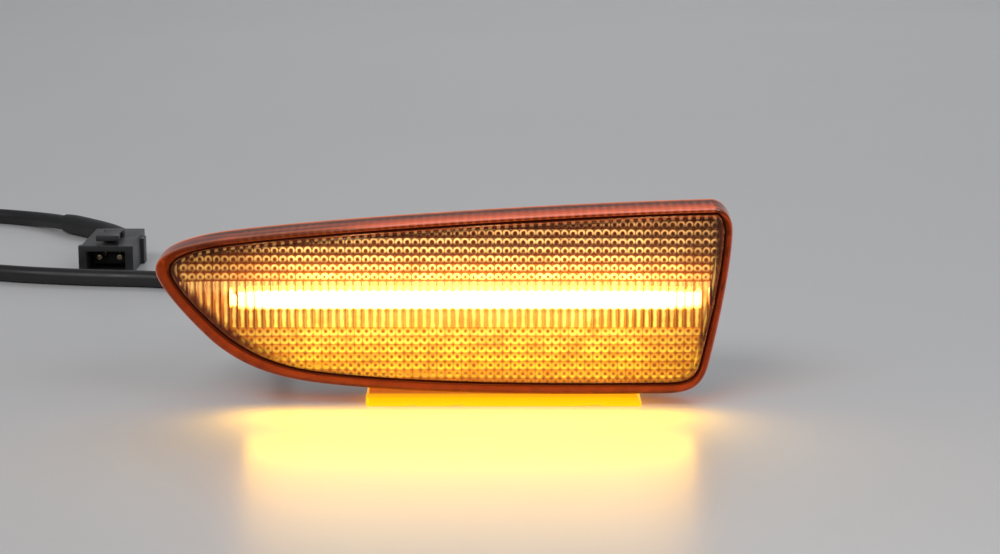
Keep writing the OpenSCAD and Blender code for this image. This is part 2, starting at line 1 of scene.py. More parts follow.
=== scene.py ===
import bpy
import bmesh
import math
import numpy as np
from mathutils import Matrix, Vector


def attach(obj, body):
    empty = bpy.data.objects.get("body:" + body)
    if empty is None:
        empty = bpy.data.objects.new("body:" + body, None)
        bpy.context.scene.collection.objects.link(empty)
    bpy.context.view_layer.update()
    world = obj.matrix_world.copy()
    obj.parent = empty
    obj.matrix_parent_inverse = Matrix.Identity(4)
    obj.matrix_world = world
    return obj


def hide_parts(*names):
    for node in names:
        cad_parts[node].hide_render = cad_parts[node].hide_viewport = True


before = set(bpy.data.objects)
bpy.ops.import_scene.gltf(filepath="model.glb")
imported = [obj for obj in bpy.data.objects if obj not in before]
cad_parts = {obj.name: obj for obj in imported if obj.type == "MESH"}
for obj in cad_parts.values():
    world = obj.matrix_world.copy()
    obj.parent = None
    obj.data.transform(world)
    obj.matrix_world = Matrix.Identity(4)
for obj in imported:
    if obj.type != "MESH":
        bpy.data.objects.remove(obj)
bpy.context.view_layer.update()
mm = 0.001

# shared places, in millimetres: the panel seat is at local depth zero
place = {"shiftY": -2.85, "foot": 1.6, "back": -2.0, "front": -11.5, "inner": -9.3, "crown": 0.8}


def localToWorld(x, y, z):
    return Vector((x * mm, (y + place["shiftY"]) * mm, z * mm))


# corners of the lens outline: x, z above the foot, heading, handle behind, handle ahead
lensNodes = [
    (-55, 24.8, 94, 4, 5), (-37.8, 31.6, 6.5, 3.9, 21), (51.2, 37.3, 1.4, 25.5, 0.9),
    (55, 32.2, -91, 4.2, 6.6), (51, 6.8, -103, 7.9, 5), (42, 0.4, 180.6, 5.7, 20),
    (-23.6, 2.45, 173, 19.3, 7.7), (-44.1, 10.45, 139.4, 8, 1.4),
]
# width of the rim, by the heading of its edge
rimWidths = {"middle": 1.7, "lean": 0.8, "side": 0.7, "ends": 0.6}


def rimAt(heading):
    a = math.radians(heading)
    width = rimWidths["middle"] - rimWidths["lean"] * math.cos(a) + rimWidths["side"] * math.sin(a)
    return width + rimWidths["ends"] * math.sin(a) ** 2


def insetNodes(nodes, inset, share=0.0):
    # the corners moved inward by inset, and by a share of the rim's own width
    moved = []
    for x, z, heading, behind, ahead in nodes:
        d = inset + share * rimAt(heading)
        a = math.radians(heading)
        moved.append((x + d * math.sin(a), z - d * math.cos(a)))
    out = []
    count = len(nodes)
    for i, (x, z, heading, behind, ahead) in enumerate(nodes):
        p, n = (i - 1) % count, (i + 1) % count
        backShare = math.dist(moved[p], moved[i]) / math.dist(nodes[p][:2], nodes[i][:2])
        aheadShare = math.dist(moved[i], moved[n]) / math.dist(nodes[i][:2], nodes[n][:2])
        out.append((*moved[i], heading, behind * backShare, ahead * aheadShare))
    return out


def outline(nodes, steps=24):
    # one curve between each two corners
    points = []
    for i, a in enumerate(nodes):
        b = nodes[(i + 1) % len(nodes)]
        ha, hb = math.radians(a[2]), math.radians(b[2])
        p1 = (a[0] + a[4] * math.cos(ha), a[1] + a[4] * math.sin(ha))
        p2 = (b[0] - b[3] * math.cos(hb), b[1] - b[3] * math.sin(hb))
        for k in range(steps):
            t = k / steps
            s = 1 - t
            w = (s ** 3, 3 * s * s * t, 3 * s * t * t, t ** 3)
            points.append(tuple(
                w[0] * a[j] + w[1] * p1[j] + w[2] * p2[j] + w[3] * b[j] for j in (0, 1)))
    return points


def ringAt(points, y):
    return [localToWorld(p[0], y, p[1] + place["foot"]) for p in points]


def newObject(name, verts, faces):
    mesh = bpy.data.meshes.new(name)
    mesh.from_pydata([tuple(v) for v in verts], [], faces)
    mesh.update()
    obj = bpy.data.objects.new(name, mesh)
    bpy.context.scene.collection.objects.link(obj)
    return obj


def fixNormals(obj):
    bm = bmesh.new()
    bm.from_mesh(obj.data)
    bmesh.ops.recalc_face_normals(bm, faces=bm.faces)
    bm.to_mesh(obj.data)
    bm.free()


def loftObject(name, rings, closed=False):
    count = len(rings[0])
    verts = [v for ring in rings for v in ring]
    faces = []
    if not closed:
        faces.append(list(range(count)))
        faces.append([(len(rings) - 1) * count + k for k in range(count - 1, -1, -1)])
    last = len(rings) if closed else len(rings) - 1
    for r in range(last):
        a0, b0 = r * count, ((r + 1) % len(rings)) * count
        for k in range(count):
            n = (k + 1) % count
            faces.append([a0 + n, a0 + k, b0 + k, b0 + n])
    obj = newObject(name, verts, faces)
    fixNormals(obj)
    return obj


def shadeSoft(obj, angle=30):
    obj.data.polygons.foreach_set("use_smooth", [True] * len(obj.data.polygons))
    obj.data.set_sharp_from_angle(angle=math.radians(angle))


def applyModifiers(obj):
    graph = bpy.context.evaluated_depsgraph_get()
    graph.update()
    mesh = bpy.data.meshes.new_from_object(obj.evaluated_get(graph))
    obj.modifiers.clear()
    obj.data = mesh


def boolean(obj, other, operation):
    m = obj.modifiers.new("cut", "BOOLEAN")
    m.operation = operation
    m.solver = "MANIFOLD"
    m.object = other
    applyModifiers(obj)
    bpy.data.objects.remove(other)


def bevel(obj, width, segments=2, angle=35):
    m = obj.modifiers.new("bevel", "BEVEL")
    m.width = width * mm
    m.segments = segments
    m.limit_method = "ANGLE"
    m.angle_limit = math.radians(angle)
    applyModifiers(obj)


def setMaterial(obj, material):
    obj.data.materials.clear()
    obj.data.materials.append(material)


def finishPiece(obj, node, material, angle):
    shadeSoft(obj, angle)
    setMaterial(obj, material)
    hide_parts(node)
    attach(obj, "root")


def softCopy(node, width, material, segments=2, angle=35):
    # the node's own solid with its edges rounded; width is in millimetres
    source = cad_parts[node]
    obj = bpy.data.objects.new(node + "Soft", source.data.copy())
    bpy.context.scene.collection.objects.link(obj)
    bm = bmesh.new()
    bm.from_mesh(obj.data)
    bmesh.ops.remove_doubles(bm, verts=bm.verts, dist=1e-6)
    bmesh.ops.dissolve_limit(bm, angle_limit=math.radians(1.5), verts=bm.verts, edges=bm.edges)
    bmesh.ops.recalc_face_normals(bm, faces=bm.faces)
    bm.to_mesh(obj.data)
    bm.free()
    if width:
        bevel(obj, width, segments, angle)
    finishPiece(obj, node, material, 32)


def newMaterial(name):
    material = bpy.data.materials.new(name)
    material.use_nodes = True
    tree = material.node_tree
    return material, tree, tree.nodes["Principled BSDF"]


def mathNode(tree, operation, a, b=None, c=None, clamp=False):
    node = tree.nodes.new("ShaderNodeMath")
    node.operation = operation
    node.use_clamp = clamp
    for i, value in enumerate((a, b, c)):
        if value is None:
            continue
        if isinstance(value, (int, float)):
            node.inputs[i].default_value = value
        else:
            tree.links.new(value, node.inputs[i])
    return node.outputs[0]


def objectCoord(tree):
    return tree.nodes.new("ShaderNodeTexCoord").outputs["Object"]


def noiseValue(tree, scale, detail=3.0, rough=0.5):
    node = tree.nodes.new("ShaderNodeTexNoise")
    node.inputs["Scale"].default_value = scale
    node.inputs["Detail"].default_value = detail
    node.inputs["Roughness"].default_value = rough
    tree.links.new(objectCoord(tree), node.inputs["Vector"])
    return node.outputs["Fac"]


def mapRange(tree, value, fromLow, fromHigh, toLow, toHigh):
    node = tree.nodes.new("ShaderNodeMapRange")
    for key, number in (("From Min", fromLow), ("From Max", fromHigh), ("To Min", toLow), ("To Max", toHigh)):
        node.inputs[key].default_value = number
    tree.links.new(value, node.inputs["Value"])
    return node.outputs["Result"]


def ramp(tree, value, stops):
    node = tree.nodes.new("ShaderNodeValToRGB")
    elements = node.color_ramp.elements
    while len(elements) > 1:
        elements.remove(elements[-1])
    elements[0].position, elements[0].color = stops[0][0], (*stops[0][1], 1)
    for position, color in stops[1:]:
        e = elements.new(position)
        e.color = (*color, 1)
    tree.links.new(value, node.inputs["Fac"])
    return node.outputs["Color"]


def addBump(tree, shader, height, strength, distance):
    node = tree.nodes.new("ShaderNodeBump")
    node.inputs["Strength"].default_value = strength
    node.inputs["Distance"].default_value = distance
    tree.links.new(height, node.inputs["Height"])
    tree.links.new(node.outputs["Normal"], shader.inputs["Normal"])


# scales of the colour's cloud and of the wear, and how far the wear changes the roughness each way
plasticWear = {"cloud": 55.0, "wear": 140.0, "smoother": 0.06, "rougher": 0.08}
metalWear = {"cloud": 90.0, "wear": 400.0, "smoother": 0.07, "rougher": 0.1}


def wornRoughness(tree, shader, rough, values, detail):
    wear = noiseValue(tree, values["wear"], detail)
    roughness = mapRange(tree, wear, 0.3, 0.7, rough - values["smoother"], rough + values["rougher"])
    tree.links.new(roughness, shader.inputs["Roughness"])


def mouldedPlastic(name, color, rough=0.45, grain=2600.0, depth=0.00004, mottle=0.12, strength=0.35):
    material, tree, shader = newMaterial(name)
    low = tuple(c * (1 - mottle) for c in color)
    high = tuple(min(1, c * (1 + mottle) + 0.004) for c in color)
    cloud = noiseValue(tree, plasticWear["cloud"], 4)
    tree.links.new(ramp(tree, cloud, [(0.3, low), (0.7, high)]), shader.inputs["Base Color"])
    wornRoughness(tree, shader, rough, plasticWear, 3)
    addBump(tree, shader, noiseValue(tree, grain, 2), strength, depth)
    return material


def metalMaterial(name, color, rough=0.3, streak=900.0):
    material, tree, shader = newMaterial(name)
    shader.inputs["Metallic"].default_value = 1.0
    low = tuple(c * 0.88 for c in color)
    cloud = noiseValue(tree, metalWear["cloud"], 4)
    tree.links.new(ramp(tree, cloud, [(0.35, low), (0.65, color)]), shader.inputs["Base Color"])
    wornRoughness(tree, shader, rough, metalWear, 4)
    addBump(tree, shader, noiseValue(tree, streak, 3), 0.15, 0.00002)
    return material


# heights of the light bar and of the pillow rows, in world millimetres
light = {"barZ": 20.55, "barHalf": 1.95, "barLeft": -40.0, "barRight": 48.6}
optics = {
    "columns": 67, "left": -51.6, "pitch": 103.6 / 66, "rowPitch": 1.665, "rows": 9,
    "fluteLow": 15.6, "fluteHigh": 24.4, "rise": 0.42, "cellSteps": 6,
}

# colours of the lit lens and strengths of its light: the bar and the LEDs are the lamp's own light, the glow
# on the pillows, flutes, rim and foot is painted light, and the darker tints of the field's ends and border,
# the rim, the wall and the groove are painted shade
glow = {
    "field": (1.0, 0.66, 0.28), "fieldEnd": (0.86, 0.36, 0.13), "margin": (0.2, 0.04, 0.015),
    "rim": (0.24, 0.028, 0.007), "rimTip": (0.17, 0.022, 0.007), "wall": (0.2, 0.04, 0.01),
    "groove": (0.04, 0.006, 0.004), "foot": (0.9, 0.45, 0.03), "glint": (1.0, 0.8, 0.6),
    "rimGlint": (1.0, 0.42, 0.2), "rimColor": (1.0, 0.19, 0.02), "edgeColor": (1.0, 0.28, 0.09),
    "footColor": (1.0, 0.58, 0.006), "lowShade": (1.0, 0.48, 0.04), "clear": (1.0, 0.62, 0.2),
    "barStrength": 7.0, "blobFloor": 0.12, "ledStrength": 3.0,
    "rimDark": 0.035, "rimEdge": 0.38, "turnedEdge": 0.45, "footGlow": 0.45,
    "ringNear": 2.0, "ringFar": 1.15, "ringFloor": 0.34, "lowNear": 1.3, "lowFar": 0.8,
    "flute": 1.15, "above": 0.25, "between": 0.24, "core": 3.0, "tick": 0.9,
    "bend": 1.49, "rimBend": 1.25, "rimFrost": 0.13,
}

# where each kind of painted light and painted shade begins and where it is full; the spots near the bar's
# ends also shape the bar's own light
spans = {
    # along the lamp, in millimetres
    "leftEnd": (-55.0, -25.0), "rightEnd": (52.0, 34.0), "rimTip": (-54.0, -20.0),
    "blobsLeft": (-34.0, -37.0), "blobsRight": (41.5, 44.0),
    "coreLeft": (-39.5, -33.0), "coreRight": (47.5, 42.0),
    "fluteLeft": (-51.0, -36.0), "fluteRight": (52.0, 42.0), "fluteMiddle": (38.0, 26.0),
    # up from the floor, in millimetres
    "margin": (9.0, 14.0), "footTop": (2.4, 1.8), "footShade": (0.0, 1.9),
    # away from the middle line of the bar, in millimetres
    "allRows": (-20.0, 20.0), "tintShadeRows": (6.0, 14.0), "archThick": (4.0, 9.5), "archLegs": (4.0, 12.0),
    "highRows": (4.0, 15.0), "lowRows": (6.0, 17.5), "aboveBar": (1.6, 2.4), "belowBar": (-1.6, -2.4),
    "core": (2.1, 1.4),
    # back from the panel seat, in world millimetres
    "turnFront": (-13.3, -12.6), "turnBack": (-11.2, -11.9), "rearEdge": (-5.9, -5.2),
    # in shares of half a pillow, from its middle
    "archInside": (0.45, 0.62), "archOutside": (1.02, 0.84), "legs": (0.0, 0.6),
    "eyeInside": (0.25, 0.6), "eyeOutside": (1.2, 0.85), "eyeLean": (-0.9, 0.6),
    "lowShade": (0.2, -0.7), "streak": (0.55, 0.15), "tick": (0.5, 0.3), "blob": (0.85, 0.45),
}


def separated(tree):
    node = tree.nodes.new("ShaderNodeSeparateXYZ")
    tree.links.new(objectCoord(tree), node.inputs[0])
    return [mathNode(tree, "MULTIPLY", node.outputs[axis], 1000.0) for axis in "XYZ"]  # in millimetres


def meshMask(tree, name):
    node = tree.nodes.new("ShaderNodeAttribute")
    node.attribute_name = name
    return node.outputs["Fac"]


def mixColors(tree, share, a, b):
    node = tree.nodes.new("ShaderNodeMix")
    node.data_type = "RGBA"
    tree.links.new(share, node.inputs["Factor"])
    for socket, value in ((node.inputs[6], a), (node.inputs[7], b)):
        if isinstance(value, tuple):
            socket.default_value = (*value, 1)
        else:
            tree.links.new(value, socket)
    return node.outputs[2]


def heightFromBar(tree, up):
    return mathNode(tree, "SUBTRACT", up, light["barZ"])


def product(tree, *values):
    out = values[0]
    for value in values[1:]:
        out = mathNode(tree, "MULTIPLY", out, value)
    return out


def total(tree, *values):
    out = values[0]
    for value in values[1:]:
        out = mathNode(tree, "ADD", out, value)
    return out


def without(tree, value):
    return mathNode(tree, "SUBTRACT", 1.0, value, clamp=True)


def fade(tree, value, name, low=0.0, high=1.0):
    return mapRange(tree, value, *spans[name], low, high)


def cellPosition(tree, value, start, pitch):
    # runs from minus one to one over each cell
    share = mathNode(tree, "FRACT", mathNode(tree, "DIVIDE", mathNode(tree, "SUBTRACT", value, start), pitch))
    return mathNode(tree, "MULTIPLY_ADD", share, 2.0, -1.0)


def endFade(tree, across):
    # painted shade: the painted light and the lens tint fall off towards both ends of the lamp, away from the
    # bar
    left = ramp(tree, fade(tree, across, "leftEnd"), [
        (0.0, (0.1, 0.1, 0.1)), (0.4, (0.16, 0.16, 0.16)), (0.65, (0.5, 0.5, 0.5)), (1.0, (1.0, 1.0, 1.0))])
    return product(tree, left, fade(tree, across, "rightEnd", 0.4))


def marginShare(tree, up):
    # painted shade: a band along the field's border, weaker along the bottom, where the rim shades the field;
    # it darkens the tint and takes away the painted glow
    return product(tree, meshMask(tree, "margin"), fade(tree, up, "margin", 0.35))


def blobs(tree, across, share):
    # one over the middle of the bar, and a row of separate bright spots near its ends
    cell = mathNode(tree, "ABSOLUTE", cellPosition(tree, across, optics["left"], optics["pitch"]))
    ends = total(tree, fade(tree, across, "blobsLeft"), fade(tree, across, "blobsRight"))
    spots = product(tree, fade(tree, cell, "blob", share), ends)
    return total(tree, spots, mathNode(tree, "SUBTRACT", 1.0, ends))


def pillowCells(tree, across, up):
    # place in a pillow sideways and outward from the bar, and which rows are above and below the flutes
    u = cellPosition(tree, across, optics["left"], optics["pitch"])
    v = cellPosition(tree, mathNode(tree, "SUBTRACT", up, optics["fluteHigh"]), 0.0, optics["rowPitch"])
    vLow = cellPosition(tree, mathNode(tree, "SUBTRACT", up, optics["fluteLow"]), 0.0, optics["rowPitch"])
    isHigh = mathNode(tree, "GREATER_THAN", up, optics["fluteHigh"])
    isLow = mathNode(tree, "LESS_THAN", up, optics["fluteLow"])
    outward = total(tree, product(tree, isHigh, v), product(tree, isLow, vLow, -1.0))
    return u, outward, isHigh, isLow


def archLight(tree, radius, outward, far):
    # painted light above the bar: a fine glowing arch painted over each pillow, thicker near the bar
    thick = total(tree, radius, fade(tree, far, "archThick", 0.2, 0.04))
    legs = mathNode(tree, "SUBTRACT", outward, fade(tree, far, "archLegs", -0.75, -0.45))
    arch = product(tree, fade(tree, thick, "archInside"), fade(tree, radius, "archOutside"))
    heat = fade(tree, far, "highRows", glow["ringNear"], glow["ringFar"])
    return product(tree, arch, fade(tree, legs, "legs", 0.05), heat)


def eyeLight(tree, radius, outward, far):
    # painted light below the bar: a glow painted over each pillow, each with a small dark eye of painted
    # shade
    eye = product(tree, fade(tree, radius, "eyeInside"), fade(tree, radius, "eyeOutside", 0.05))
    heat = fade(tree, far, "lowRows", glow["lowNear"], glow["lowFar"])
    return product(tree, eye, fade(tree, outward, "eyeLean", 0.6, 1.05), heat)


def fluteLight(tree, side, across, rise, inBand):
    # painted light: a glowing streak painted down every flute, with some painted glow between them near the
    # bar
    middle = fade(tree, mathNode(tree, "ABSOLUTE", across), "fluteMiddle")
    above = product(tree, fade(tree, rise, "aboveBar"), glow["above"])
    below = product(tree, fade(tree, rise, "belowBar"), middle, glow["between"])
    ends = product(tree, fade(tree, across, "fluteLeft", 0.5), fade(tree, across, "fluteRight", 0.55))
    return product(tree, inBand, total(tree, fade(tree, side, "streak"), above, below), glow["flute"], ends)


def coreLight(tree, side, across, rise):
    # painted light: the white heart of the bar, painted on the lens as its flutes show it
    lifted = mathNode(tree, "ABSOLUTE", mathNode(tree, "SUBTRACT", rise, 0.3))
    along = product(tree, fade(tree, across, "coreLeft"), fade(tree, across, "coreRight"))
    core = product(tree, fade(tree, total(tree, lifted, product(tree, side, 0.3)), "core"), along)
    return product(tree, core, blobs(tree, across, 0.0))


def glowColor(tree, rise, outward, isLow):
    # painted light: the colour of the painted glow by height from the bar, with the outer part of each lower
    # pillow in painted shade
    color = ramp(tree, fade(tree, rise, "allRows"), [
        (0.0, (1.0, 0.5, 0.05)), (0.2, (1.0, 0.85, 0.07)), (0.38, (1.0, 0.95, 0.2)), (0.44, (1.0, 0.95, 0.3)),
        (0.5, (1.0, 0.95, 0.3)), (0.57, (1.0, 1.0, 0.4)), (0.68, (1.0, 0.9, 0.34)),
        (0.78, (1.0, 0.76, 0.38)), (0.95, (1.0, 0.6, 0.34))])
    shaded = product(tree, isLow, fade(tree, outward, "lowShade", 0.0, 0.75))
    return mixColors(tree, shaded, color, glow["lowShade"])


def pillowGlow(tree, across, deep, up):
    # the colour and strength of the painted light on the pillows and flutes, standing in for the bar's light
    # refracted through them
    rise = heightFromBar(tree, up)
    far = mathNode(tree, "ABSOLUTE", rise)
    u, outward, isHigh, isLow = pillowCells(tree, across, up)
    wobble = mathNode(tree, "MULTIPLY_ADD", noiseValue(tree, 900.0, 2), 0.5, -0.25)
    radius = mathNode(tree, "SQRT", total(tree, product(tree, u, u), product(tree, outward, outward)))
    radius = total(tree, radius, wobble)
    side = total(tree, mathNode(tree, "ABSOLUTE", u), wobble)
    pillows = total(tree, product(tree, isHigh, archLight(tree, radius, outward, far)),
                    product(tree, isLow, eyeLight(tree, radius, outward, far)))
    inBand = mathNode(tree, "SUBTRACT", 1.0, total(tree, isHigh, isLow))
    core = coreLight(tree, side, across, rise)
    # painted shade: the painted rings dim towards both ends of the lamp, but not below ringFloor
    ringFade = mathNode(tree, "MAXIMUM", endFade(tree, across), glow["ringFloor"])
    lit = total(tree, product(tree, pillows, ringFade), fluteLight(tree, side, across, rise, inBand))
    # painted light: glowing ticks just inside the field's border, and a noise sparkle over the painted glow
    ticks = product(tree, meshMask(tree, "tick"), fade(tree, side, "tick"), glow["tick"])
    paintedSparkle = mapRange(tree, noiseValue(tree, 260.0, 2), 0.3, 0.7, 0.6, 1.35)
    inField = mathNode(tree, "SUBTRACT", 1.0, marginShare(tree, up))
    strength = product(tree, total(tree, product(tree, lit, inField), ticks), paintedSparkle)
    strength = total(tree, strength, product(tree, core, glow["core"]))
    onPillows = mathNode(tree, "GREATER_THAN", deep, place["inner"] - 0.3 + place["shiftY"])
    whiteShare = mathNode(tree, "MULTIPLY", core, 1.0, clamp=True)
    color = mixColors(tree, whiteShare, glowColor(tree, rise, outward, isLow), (1.0, 1.0, 1.0))
    return color, product(tree, strength, onPillows)


def lensTint(tree, across, up, rim, groove, onFoot):
    # painted shade in the amber tint: darker towards both ends and high above the bar, away from its light; a
    # dark band along the field's border; the rim darker, darkest towards the left tip; the skirt's inner wall
    # and the groove painted dark; the foot keeps its own tint
    dim = without(tree, endFade(tree, across))
    high = fade(tree, heightFromBar(tree, up), "tintShadeRows", 0.0, 0.6)
    tint = mixColors(tree, mathNode(tree, "MAXIMUM", dim, high), glow["field"], glow["fieldEnd"])
    tint = mixColors(tree, marginShare(tree, up), tint, glow["margin"])
    rimTint = mixColors(tree, fade(tree, across, "rimTip"), glow["rimTip"], glow["rim"])
    tint = mixColors(tree, rim, tint, rimTint)
    tint = mixColors(tree, meshMask(tree, "wall"), tint, glow["wall"])
    tint = mixColors(tree, onFoot, tint, glow["foot"])
    return mixColors(tree, groove, tint, glow["groove"])


def rimGlow(tree, deep, up, rim, clearPart, onFoot):
    # painted light: the rim glows faintly beside the field, with a painted highlight along its outer and rear
    # edges, and the foot strip glows with painted light, brighter towards the bottom
    turned = product(tree, fade(tree, deep, "turnFront"), fade(tree, deep, "turnBack"))
    rear = fade(tree, deep, "rearEdge")
    edge = mathNode(tree, "MULTIPLY_ADD", turned, glow["turnedEdge"], rear, clamp=True)
    # a noise mottle in the rim's painted glow
    mottle = mapRange(tree, noiseValue(tree, 420.0, 3, 0.6), 0.35, 0.65, 0.75, 1.25)
    rimLight = mathNode(tree, "MULTIPLY_ADD", edge, glow["rimEdge"], glow["rimDark"])
    strength = total(tree, product(tree, onFoot, glow["footGlow"], fade(tree, up, "footShade", 1.25, 0.7)),
                     product(tree, without(tree, onFoot), rim, clearPart, mottle, rimLight))
    color = mixColors(tree, edge, glow["rimColor"], glow["edgeColor"])
    return mixColors(tree, onFoot, color, glow["footColor"]), strength


def lensMaterial():
    material, tree, shader = newMaterial("amberLens")
    rim, groove = meshMask(tree, "rim"), meshMask(tree, "groove")
    across, deep, up = separated(tree)
    onFoot = fade(tree, up, "footTop")
    clearPart = without(tree, groove)
    frost = mapRange(tree, noiseValue(tree, 200.0, 3), 0.3, 0.7, 0.005, 0.03)
    color, strength = pillowGlow(tree, across, deep, up)
    plainColor, plainStrength = rimGlow(tree, deep, up, rim, clearPart, onFoot)
    isField = without(tree, rim)
    # the amber glass, with painted shade in its tint and, as emission, painted light on the pillows, flutes
    # and field border, the rim's painted glow and highlight and the foot's painted glow
    for name, value in {
        "Base Color": lensTint(tree, across, up, rim, groove, onFoot),
        "Transmission Weight": clearPart,
        "IOR": mapRange(tree, rim, 0.0, 1.0, glow["bend"], glow["rimBend"]),
        "Specular Tint": mixColors(tree, rim, glow["glint"], glow["rimGlint"]),
        "Roughness": mathNode(tree, "MULTIPLY_ADD", rim, glow["rimFrost"], frost),
        "Emission Color": mixColors(tree, isField, plainColor, color),
        "Emission Strength": total(tree, plainStrength, product(tree, isField, strength)),
    }.items():
        tree.links.new(value, shader.inputs[name])
    clear = tree.nodes.new("ShaderNodeBsdfTransparent")  # light from outside passes through, tinted
    clear.inputs["Color"].default_value = (*glow["clear"], 1)
    mix = tree.nodes.new("ShaderNodeMixShader")
    path = tree.nodes.new("ShaderNodeLightPath")
    tree.links.new(path.outputs["Is Shadow Ray"], mix.inputs[0])
    tree.links.new(shader.outputs[0], mix.inputs[1])
    tree.links.new(clear.outputs[0], mix.inputs[2])
    tree.links.new(mix.outputs[0], tree.nodes["Material Output"].inputs["Surface"])
    return material


def reflectorMaterial():
    material, tree, shader = newMaterial("reflectorGlow")
    across, _, up = separated(tree)
    # painted light and shade: the reflector's colour and glow are painted bright round the bar, dark far
    # above and below it and dimmer towards both ends, with a noise cloud in the glow
    rowShare = fade(tree, heightFromBar(tree, up), "allRows")
    tree.links.new(ramp(tree, rowShare, [
        (0.0, (0.1, 0.02, 0.005)), (0.35, (0.22, 0.07, 0.008)), (0.5, (0.3, 0.1, 0.012)),
        (0.6, (0.16, 0.04, 0.007)), (0.72, (0.04, 0.008, 0.004)), (1.0, (0.02, 0.004, 0.003)),
    ]), shader.inputs["Base Color"])
    tree.links.new(ramp(tree, rowShare, [
        (0.0, (0.22, 0.05, 0.005)), (0.12, (0.32, 0.1, 0.006)), (0.3, (0.4, 0.17, 0.008)),
        (0.4, (0.55, 0.26, 0.012)), (0.5, (1.0, 0.8, 0.25)), (0.58, (0.9, 0.4, 0.04)),
        (0.63, (0.5, 0.12, 0.01)), (0.69, (0.2, 0.03, 0.005)), (0.78, (0.05, 0.006, 0.003)),
        (1.0, (0.02, 0.003, 0.002)),
    ]), shader.inputs["Emission Color"])
    cloud = mapRange(tree, noiseValue(tree, 120.0, 4), 0.3, 0.7, 0.75, 1.2)
    tree.links.new(product(tree, endFade(tree, across), cloud), shader.inputs["Emission Strength"])
    shader.inputs["Roughness"].default_value = 0.4
    return material


def barMaterial():
    material, tree, shader = newMaterial("lightBarGlow")
    across, _, up = separated(tree)
    color = ramp(tree, mapRange(tree, heightFromBar(tree, up), -2.0, 2.0, 0.0, 1.0), [
        (0.0, (0.1, 0.035, 0.003)), (0.1, (0.2, 0.11, 0.012)), (0.2, (0.6, 0.5, 0.2)),
        (0.32, (1.0, 0.92, 0.6)), (0.85, (1.0, 0.95, 0.7)), (0.94, (0.8, 0.6, 0.2)),
        (1.0, (0.4, 0.25, 0.04)),
    ])
    tree.links.new(color, shader.inputs["Base Color"])
    tree.links.new(color, shader.inputs["Emission Color"])
    strength = product(tree, blobs(tree, across, glow["blobFloor"]), glow["barStrength"])
    tree.links.new(strength, shader.inputs["Emission Strength"])
    shader.inputs["Roughness"].default_value = 0.4
    return material


def boardMaterial():
    material, tree, shader = newMaterial("boardMask")
    color = ramp(tree, noiseValue(tree, 80.0, 3), [(0.3, (0.78, 0.78, 0.74)), (0.7, (0.86, 0.86, 0.82))])
    tree.links.new(color, shader.inputs["Base Color"])
    shader.inputs["Roughness"].default_value = 0.35
    addBump(tree, shader, noiseValue(tree, 600.0, 2), 0.2, 0.00003)
    return material


def ledMaterial():
    material, tree, shader = newMaterial("ledGlow")
    color = ramp(tree, noiseValue(tree, 300.0, 2), [(0.3, (1.0, 0.78, 0.3)), (0.7, (1.0, 0.84, 0.4))])
    tree.links.new(color, shader.inputs["Base Color"])
    tree.links.new(color, shader.inputs["Emission Color"])
    shader.inputs["Emission Strength"].default_value = glow["ledStrength"]
    shader.inputs["Roughness"].default_value = 0.4
    return material


looks = {
    "lens": lensMaterial(),
    "reflector": reflectorMaterial(),
    "bar": barMaterial(),
    "board": boardMaterial(),
    "led": ledMaterial(),
    "seal": mouldedPlastic("sealantGrey", (0.55, 0.55, 0.52), 0.5, 900.0),
    "housing": mouldedPlastic("housingBlack", (0.022, 0.022, 0.024), 0.42, 2400.0, 0.00005, 0.2, 0.5),
    "foam": mouldedPlastic("gasketFoam", (0.03, 0.03, 0.031), 0.85, 3200.0, 0.00012, 0.25, 0.9),
    "rubber": mouldedPlastic("grommetRubber", (0.018, 0.018, 0.019), 0.62, 1500.0, 0.00005),
    "cap": mouldedPlastic("capRubber", (0.03, 0.03, 0.032), 0.55, 1500.0, 0.00004),
    "sheath": mouldedPlastic("leadSheath", (0.014, 0.014, 0.015), 0.38, 1200.0, 0.00004),
    "sleeve": mouldedPlastic("shrinkSleeve", (0.02, 0.02, 0.021), 0.55, 800.0, 0.00008),
    "connector": mouldedPlastic("connectorBlack", (0.02, 0.02, 0.022), 0.4, 2400.0, 0.00004),
    "lock": mouldedPlastic("lockBlack", (0.032, 0.032, 0.034), 0.38, 2400.0, 0.00004),
    "silicone": mouldedPlastic("siliconeBlue", (0.05, 0.14, 0.34), 0.4, 900.0),
    "chip": mouldedPlastic("chipBlack", (0.02, 0.02, 0.022), 0.5, 3000.0),
    "red": mouldedPlastic("wireRed", (0.42, 0.03, 0.02), 0.4, 1500.0),
    "black": mouldedPlastic("wireBlack", (0.015, 0.015, 0.015), 0.4, 1500.0),
    "spring": metalMaterial("springSteel", (0.58, 0.59, 0.61), 0.26),
    "screw": metalMaterial("screwSteel", (0.66, 0.66, 0.68), 0.3),
    "can": metalMaterial("canMetal", (0.75, 0.75, 0.77), 0.22),
    "brass": metalMaterial("tinnedBrass", (0.72, 0.62, 0.38), 0.25),
}
print("materials made")


lens = {
    "wall": 2.0, "draft": 0.25, "roundDepth": 2.5, "grooveDepth": 0.35, "grooveHalf": 0.3, "faceStart": 0.55,
    "spineLow": -36.0, "spineHigh": 40.0, "spineZ": 19.0, "slack": 0.004,
}


def towardSpine(p, t):
    x = min(max(p[0], lens["spineLow"]), lens["spineHigh"])
    return (p[0] + (x - p[0]) * t, p[1] + (lens["spineZ"] - p[1]) * t)


